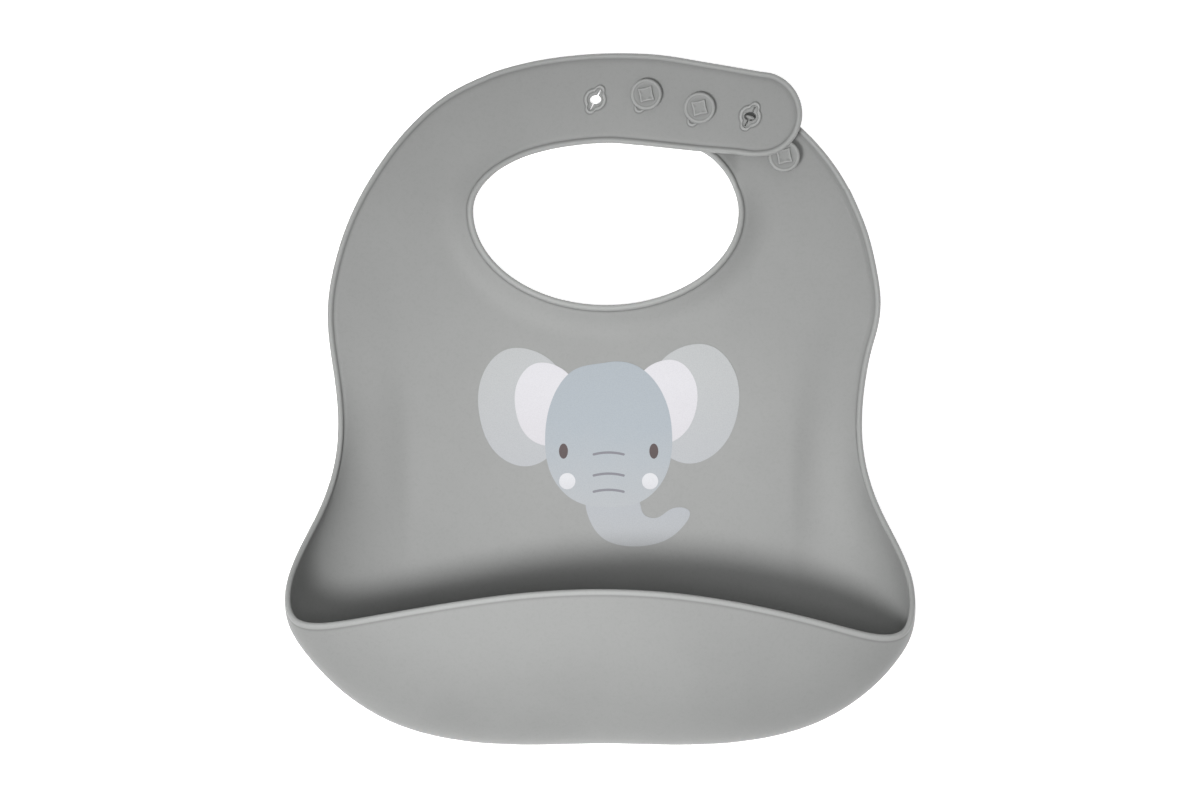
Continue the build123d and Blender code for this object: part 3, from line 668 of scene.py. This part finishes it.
def silicone_material(name, color, roughness=0.58):
    """Moulded silicone: faint mottling, fine grain, a soft sheen, and a painted highlight on ridges and
    painted shade in grooves.
    """
    material, tree, shader, node = new_material(name)
    link = tree.links.new
    cloud = noise(tree, node, 28.0, 4.0)
    speck = noise(tree, node, 900.0, 2.0)
    ramp = node("ValToRGB")
    ramp.color_ramp.elements[0].position = 0.3
    ramp.color_ramp.elements[0].color = (*[c * 0.955 for c in color], 1)
    ramp.color_ramp.elements[1].position = 0.7
    ramp.color_ramp.elements[1].color = (*[c * 1.03 for c in color], 1)
    link(cloud.outputs["Fac"], ramp.inputs["Fac"])
    fine = node("MixRGB", blend_type="MULTIPLY", Fac=0.5)
    speck_ramp = node("ValToRGB")
    speck_ramp.color_ramp.elements[0].position = 0.32
    speck_ramp.color_ramp.elements[0].color = (0.93, 0.93, 0.93, 1)
    speck_ramp.color_ramp.elements[1].position = 0.5
    speck_ramp.color_ramp.elements[1].color = (1, 1, 1, 1)
    link(speck.outputs["Fac"], speck_ramp.inputs["Fac"])
    link(ramp.outputs["Color"], fine.inputs["Color1"])
    link(speck_ramp.outputs["Color"], fine.inputs["Color2"])
    relief = node("Attribute", attribute_name="relief")
    # painted light: the colour is made a quarter lighter on ridges (relief +1) and a quarter darker in
    # grooves (relief -1), standing in for the light and shade that falls there
    ridge_light_and_groove_shade = node("Math", operation="MULTIPLY_ADD")
    ridge_light_and_groove_shade.inputs[1].default_value = 0.25
    ridge_light_and_groove_shade.inputs[2].default_value = 1.0
    link(relief.outputs["Fac"], ridge_light_and_groove_shade.inputs[0])
    paler = node("MixRGB", blend_type="MULTIPLY", Fac=1.0)
    link(fine.outputs["Color"], paler.inputs["Color1"])
    link(ridge_light_and_groove_shade.outputs["Value"], paler.inputs["Color2"])
    link(paler.outputs["Color"], shader.inputs["Base Color"])
    rough = node("MapRange")
    rough.inputs["To Min"].default_value = roughness - 0.06
    rough.inputs["To Max"].default_value = roughness + 0.08
    link(cloud.outputs["Fac"], rough.inputs["Value"])
    link(rough.outputs["Result"], shader.inputs["Roughness"])
    grain = noise(tree, node, 2600.0, 2.0)
    wave = noise(tree, node, 45.0, 2.0)
    small = node("Bump", Strength=0.12, Distance=0.0002)
    link(grain.outputs["Fac"], small.inputs["Height"])
    broad = node("Bump", Strength=0.18, Distance=0.0012)
    link(wave.outputs["Fac"], broad.inputs["Height"])
    link(small.outputs["Normal"], broad.inputs["Normal"])
    link(broad.outputs["Normal"], shader.inputs["Normal"])
    shader.inputs["IOR"].default_value = 1.43
    shader.inputs["Specular IOR Level"].default_value = 0.42
    shader.inputs["Sheen Weight"].default_value = 0.12
    shader.inputs["Sheen Roughness"].default_value = 0.45
    shader.inputs["Subsurface Weight"].default_value = 0.06
    shader.inputs["Subsurface Radius"].default_value = (0.002, 0.002, 0.002)
    return material


def assign(piece, material):
    piece.data.materials.clear()
    piece.data.materials.append(material)


def srgb(*values):
    """Linear colour from 0-255 values."""
    scaled = [v / 255 for v in values]
    return tuple(c / 12.92 if c <= 0.04045 else ((c + 0.055) / 1.055) ** 2.4 for c in scaled)


silicone = silicone_material("grey_silicone", srgb(126, 127, 126))
for piece in (body_shell, hole_strap, button_strap, studs):
    assign(piece, silicone)


def ink_material(name, color, low_color, span, roughness=0.5):
    """Screen-printed ink: a soft change of tone down the motif, faint clouds and a fine stipple."""
    material, tree, shader, node = new_material(name)
    link = tree.links.new
    place = node("TexCoord")
    split = node("SeparateXYZ")
    link(place.outputs["Object"], split.inputs["Vector"])
    down = node("MapRange")
    down.inputs["From Min"].default_value = span[0]
    down.inputs["From Max"].default_value = span[1]
    link(split.outputs["Y"], down.inputs["Value"])
    cloud = noise(tree, node, 160.0, 4.0, source=place.outputs["Object"])
    wobble = node("Math", operation="MULTIPLY_ADD")
    wobble.inputs[1].default_value = 0.35
    link(cloud.outputs["Fac"], wobble.inputs[0])
    link(down.outputs["Result"], wobble.inputs[2])
    ramp = node("ValToRGB")
    ramp.color_ramp.elements[0].position = 0.15
    ramp.color_ramp.elements[0].color = (*low_color, 1)
    ramp.color_ramp.elements[1].position = 0.9
    ramp.color_ramp.elements[1].color = (*color, 1)
    link(wobble.outputs["Value"], ramp.inputs["Fac"])
    stipple = noise(tree, node, 3200.0, 1.0, source=place.outputs["Object"])
    dots = node("MapRange")
    dots.inputs["From Min"].default_value = 0.35
    dots.inputs["From Max"].default_value = 0.6
    dots.inputs["To Min"].default_value = 0.94
    dots.inputs["To Max"].default_value = 1.02
    link(stipple.outputs["Fac"], dots.inputs["Value"])
    tone = node("MixRGB", blend_type="MULTIPLY", Fac=1.0)
    link(ramp.outputs["Color"], tone.inputs["Color1"])
    link(dots.outputs["Result"], tone.inputs["Color2"])
    link(tone.outputs["Color"], shader.inputs["Base Color"])
    bump = node("Bump", Strength=0.1, Distance=0.0001)
    link(stipple.outputs["Fac"], bump.inputs["Height"])
    link(bump.outputs["Normal"], shader.inputs["Normal"])
    shader.inputs["Roughness"].default_value = roughness
    shader.inputs["Specular IOR Level"].default_value = 0.4
    return material


# for each ink: colour at the top, colour at the bottom, and the Y of its bottom and top in metres
INKS = {
    "print_ears": ink_material("ink_ears", srgb(148, 150, 151), srgb(143, 145, 148), (-0.026, 0.02)),
    "print_ear_inners": ink_material("ink_ear_inners", srgb(175, 174, 178), srgb(169, 167, 171),
                                     (-0.018, 0.014)),
    "print_face": ink_material("ink_face", srgb(132, 139, 145), srgb(140, 143, 146), (-0.04, 0.0)),
    "print_trunk": ink_material("ink_trunk", srgb(138, 141, 145), srgb(140, 142, 144), (-0.055, -0.038)),
    "print_eyes": ink_material("ink_eyes", srgb(54, 38, 38), srgb(49, 34, 34), (-0.023, -0.017)),
    "print_cheeks": ink_material("ink_cheeks", srgb(174, 175, 178), srgb(169, 169, 173), (-0.034, -0.028)),
    "print_wrinkles": ink_material("ink_wrinkles", srgb(97, 97, 104), srgb(100, 100, 107), (-0.04, -0.02)),
}
for name, material in INKS.items():
    assign(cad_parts[name], material)


# ---- stage, light and camera

SENSOR = 36  # the camera's sensor width, in mm
CAMERA_HEIGHT, VIEW_WIDTH = 1.6, 0.444  # metres; the view takes in that width on the table


def floor_piece():
    """A white table top, faintly lit from inside like a light table, so that it shows hardly any shadow."""
    bpy.ops.mesh.primitive_plane_add(size=40.0, location=(0, 0, -0.0005))
    floor = bpy.context.object
    floor.name = "table_top"
    material, tree, shader, node = new_material("table_white")
    shader.inputs["Base Color"].default_value = (0.95, 0.95, 0.95, 1)
    shader.inputs["Roughness"].default_value = 0.9
    shader.inputs["Specular IOR Level"].default_value = 0.0
    shader.inputs["Emission Color"].default_value = (1, 1, 1, 1)
    shader.inputs["Emission Strength"].default_value = 0.6
    assign(floor, material)


def aimed_light(name, kind, location, target, power):
    """A light that shines from one place at another; returns its data."""
    data = bpy.data.lights.new(name, kind)
    data.energy = power
    light = bpy.data.objects.new(name, data)
    light.location = location
    light.rotation_euler = (Vector(target) - Vector(location)).to_track_quat("-Z", "Y").to_euler()
    bpy.context.scene.collection.objects.link(light)
    return data


def make_stage():
    """The table top, two lights, an even surrounding light and the camera straight above."""
    floor_piece()
    key = aimed_light("soft_key", "SPOT", (-0.4, -0.36, 1.1), (0.01, -0.03, 0), 114.0)
    key.spot_size = math.radians(23.0)
    key.spot_blend = 1.0
    key.shadow_soft_size = 0.2
    top = aimed_light("soft_top", "AREA", (0.05, -0.1, 1.9), (0, 0, 0), 8.0)
    top.shape = "DISK"
    top.size = 0.6
    world = bpy.data.worlds.new("studio")
    bpy.context.scene.world = world
    world.use_nodes = True
    world.node_tree.nodes["Background"].inputs["Color"].default_value = (1, 1, 1, 1)
    world.node_tree.nodes["Background"].inputs["Strength"].default_value = 0.4

    camera = bpy.data.cameras.new("camera")
    camera.lens = SENSOR * CAMERA_HEIGHT / VIEW_WIDTH
    camera.clip_end = 50
    holder = bpy.data.objects.new("camera", camera)
    holder.location = (0, -ORIGIN_Y * MM, CAMERA_HEIGHT)
    bpy.context.scene.collection.objects.link(holder)
    bpy.context.scene.camera = holder
    bpy.context.scene.view_settings.view_transform = "Standard"


make_stage()
